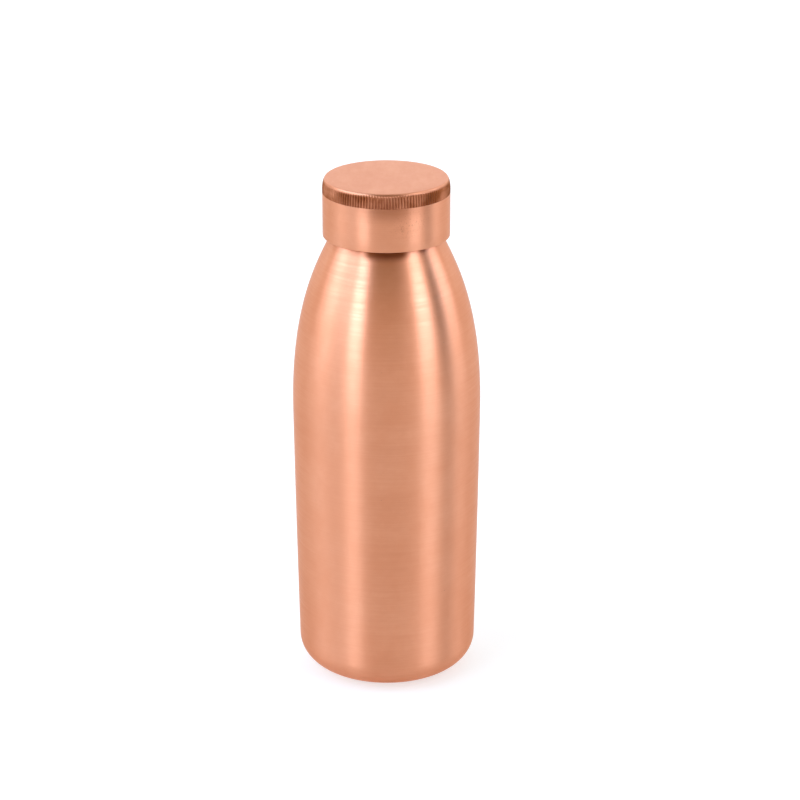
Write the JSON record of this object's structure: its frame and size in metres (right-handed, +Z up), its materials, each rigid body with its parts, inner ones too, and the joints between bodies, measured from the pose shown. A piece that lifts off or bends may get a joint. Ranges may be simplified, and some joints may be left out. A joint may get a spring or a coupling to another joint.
{
  "type": "water bottle",
  "caption": "Copper drinking bottle with a tapering round shoulder and a knurled screw cap that unscrews and lifts off its threaded neck.",
  "frame": {"origin": "centre of the circle that the foot stands on", "axes": "+Z up along the bottle's axis, from the foot to the cap; +X and +Y are free, because the bottle is round"},
  "size_m": [0.075, 0.075, 0.2058],
  "materials": {
    "copper_body": "satin copper, brushed round the axis",
    "copper_cap": "satin copper, brushed round the axis, with a knurled band",
    "brass": "machined brass",
    "brazing_alloy": "dull silver-copper brazing fillet",
    "silicone": "matt translucent white"
  },
  "bodies": {
    "bottle": {"body_shell": "copper_body", "base_plate": "copper_body", "base_braze_ring": "brazing_alloy", "neck_collar": "brass", "neck_braze_ring": "brazing_alloy"},
    "seal": {"cap_gasket": "silicone"},
    "cap": {"cap_shell": "copper_cap", "cap_thread_ring": "brass", "cap_liner": "copper_cap"}
  },
  "joints": [
    {"name": "cap_rise", "type": "slide", "parent": "bottle", "child": "seal", "axis": [0, 0, 1], "range_m": [0, 0.021]},
    {"name": "cap_turn", "type": "hinge", "parent": "seal", "child": "cap", "pos_m": [0, 0, 0.193], "axis": [0, 0, 1], "range_deg": [0, 1260]}
  ],
  "couplings": [
    {"joint": "cap_rise", "follows": "cap_turn", "m_per_rad": 0.00095493}
  ]
}
